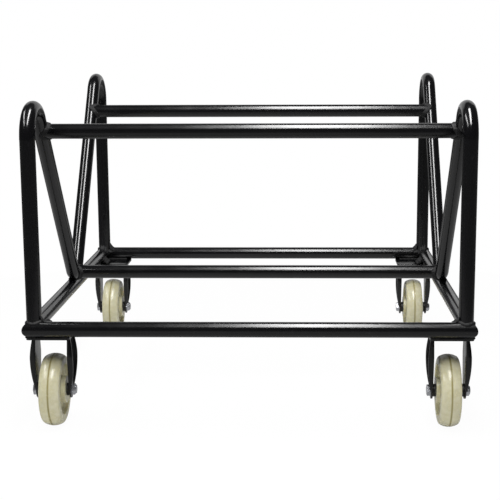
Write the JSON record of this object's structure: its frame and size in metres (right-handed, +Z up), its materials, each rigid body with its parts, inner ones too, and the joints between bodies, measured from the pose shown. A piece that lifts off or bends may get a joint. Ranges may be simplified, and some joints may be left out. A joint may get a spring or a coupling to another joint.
{
  "type": "stacking chair trolley",
  "caption": "Low square trolley of welded black round tube with bent side loops and cross rails that carry stacked chairs, on fixed casters with nylon wheels.",
  "frame": {"origin": "on the floor, under the middle of the square base ring", "axes": "+Z up, +X to the right across the trolley, along the axles, -Y towards the front, which has the lower hairpins"},
  "size_m": [0.6212, 0.634, 0.4794],
  "materials": {
    "black_powder_coat": "gloss",
    "zinc_plate": "satin",
    "natural_nylon": "satin",
    "black_nylon": "matte"
  },
  "bodies": {
    "frame": {"base_front_rail": "black_powder_coat", "base_rear_rail": "black_powder_coat", "base_left_rail": "black_powder_coat", "base_right_rail": "black_powder_coat", "base_mid_rail": "black_powder_coat", "left_side_loop": "black_powder_coat", "right_side_loop": "black_powder_coat", "front_top_rail": "black_powder_coat", "rear_top_rail": "black_powder_coat", "front_left_corner_plate": "black_powder_coat", "front_left_fork": "black_powder_coat", "front_left_axle_sleeve": "zinc_plate", "front_left_axle_bolt": "zinc_plate", "front_left_lock_nut": "zinc_plate", "front_left_left_spacer": "black_nylon", "front_left_right_spacer": "black_nylon", "front_right_corner_plate": "black_powder_coat", "front_right_fork": "black_powder_coat", "front_right_axle_sleeve": "zinc_plate", "front_right_axle_bolt": "zinc_plate", "front_right_lock_nut": "zinc_plate", "front_right_left_spacer": "black_nylon", "front_right_right_spacer": "black_nylon", "rear_left_corner_plate": "black_powder_coat", "rear_left_fork": "black_powder_coat", "rear_left_axle_sleeve": "zinc_plate", "rear_left_axle_bolt": "zinc_plate", "rear_left_lock_nut": "zinc_plate", "rear_left_left_spacer": "black_nylon", "rear_left_right_spacer": "black_nylon", "rear_right_corner_plate": "black_powder_coat", "rear_right_fork": "black_powder_coat", "rear_right_axle_sleeve": "zinc_plate", "rear_right_axle_bolt": "zinc_plate", "rear_right_lock_nut": "zinc_plate", "rear_right_left_spacer": "black_nylon", "rear_right_right_spacer": "black_nylon"},
    "front_left_rolling_wheel": {"front_left_wheel": "natural_nylon"},
    "front_right_rolling_wheel": {"front_right_wheel": "natural_nylon"},
    "rear_left_rolling_wheel": {"rear_left_wheel": "natural_nylon"},
    "rear_right_rolling_wheel": {"rear_right_wheel": "natural_nylon"}
  },
  "joints": [
    {"name": "front_left_wheel_roll", "type": "hinge", "parent": "frame", "child": "front_left_rolling_wheel", "pos_m": [-0.277, -0.266, 0.051], "axis": [1, 0, 0], "continuous": true},
    {"name": "front_right_wheel_roll", "type": "hinge", "parent": "frame", "child": "front_right_rolling_wheel", "pos_m": [0.277, -0.266, 0.051], "axis": [1, 0, 0], "continuous": true},
    {"name": "rear_left_wheel_roll", "type": "hinge", "parent": "frame", "child": "rear_left_rolling_wheel", "pos_m": [-0.277, 0.266, 0.051], "axis": [1, 0, 0], "continuous": true},
    {"name": "rear_right_wheel_roll", "type": "hinge", "parent": "frame", "child": "rear_right_rolling_wheel", "pos_m": [0.277, 0.266, 0.051], "axis": [1, 0, 0], "continuous": true}
  ]
}
